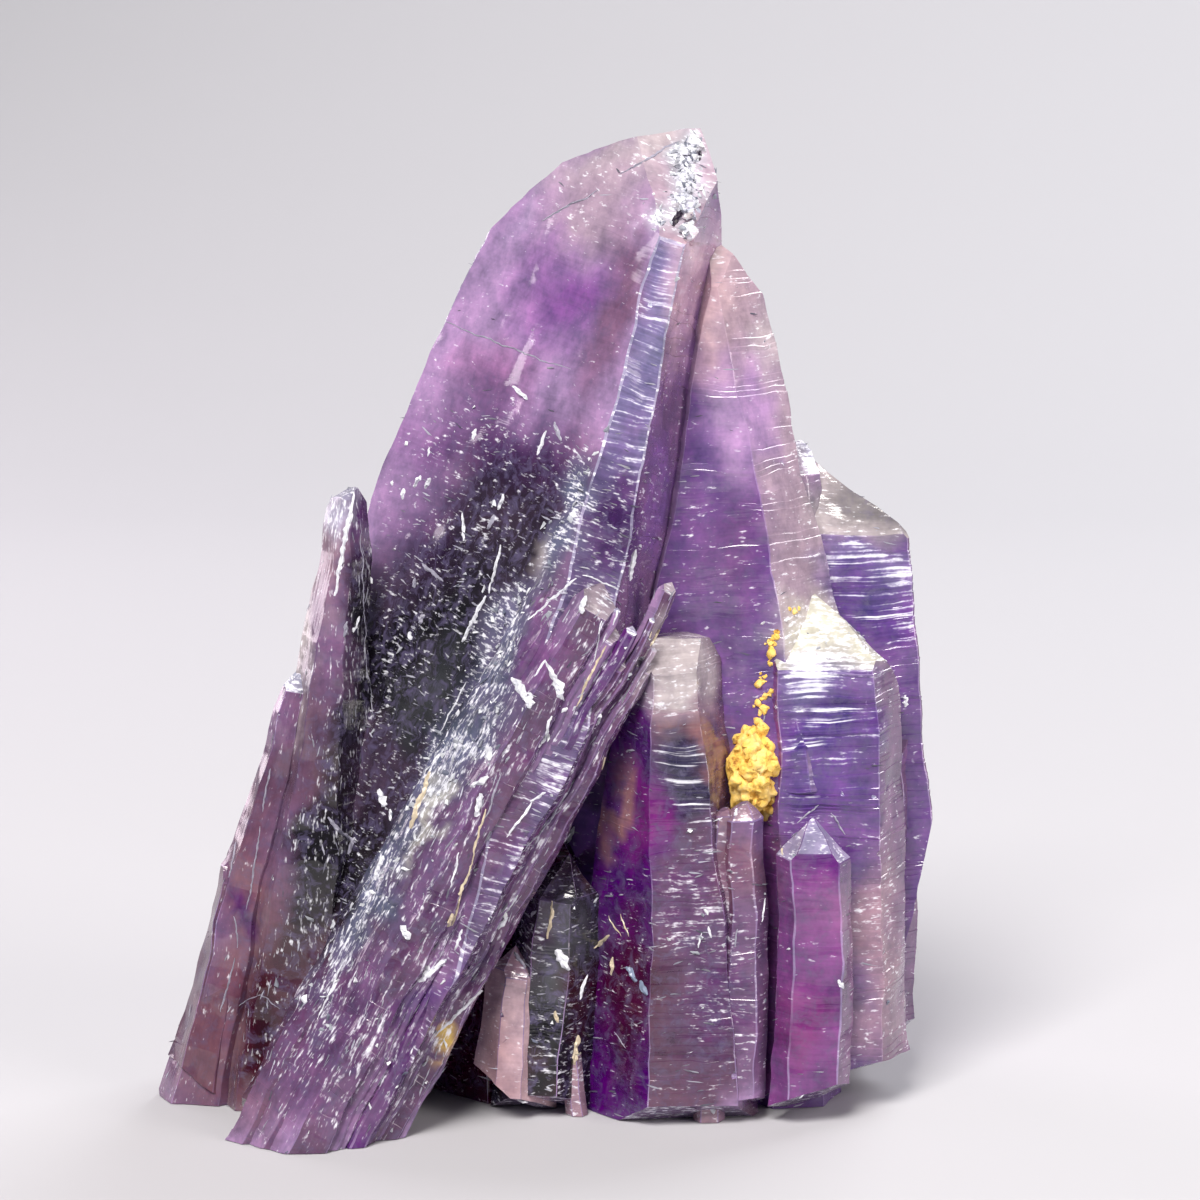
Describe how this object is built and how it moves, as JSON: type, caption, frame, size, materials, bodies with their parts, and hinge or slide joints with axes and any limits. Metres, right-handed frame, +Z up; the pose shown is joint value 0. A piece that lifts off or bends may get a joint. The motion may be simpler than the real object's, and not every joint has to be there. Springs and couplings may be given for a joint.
{
  "type": "amethyst crystal cluster",
  "caption": "Natural quartz specimen: leaning pointed crystal fused to upright faceted crystals, with flat broken base and a rough ochre crust.",
  "frame": {"origin": "middle of the flat broken base, on the surface that the specimen stands on", "axes": "+Z up along the specimen's height, +X to the right seen from the front, +Y towards the back"},
  "size_m": [0.0394, 0.0238, 0.049],
  "materials": {
    "amethyst": "polished",
    "ochre": "rough"
  },
  "bodies": {
    "root": {"amethyst_cluster": "amethyst", "ochre_crust": "ochre"}
  },
  "joints": []
}
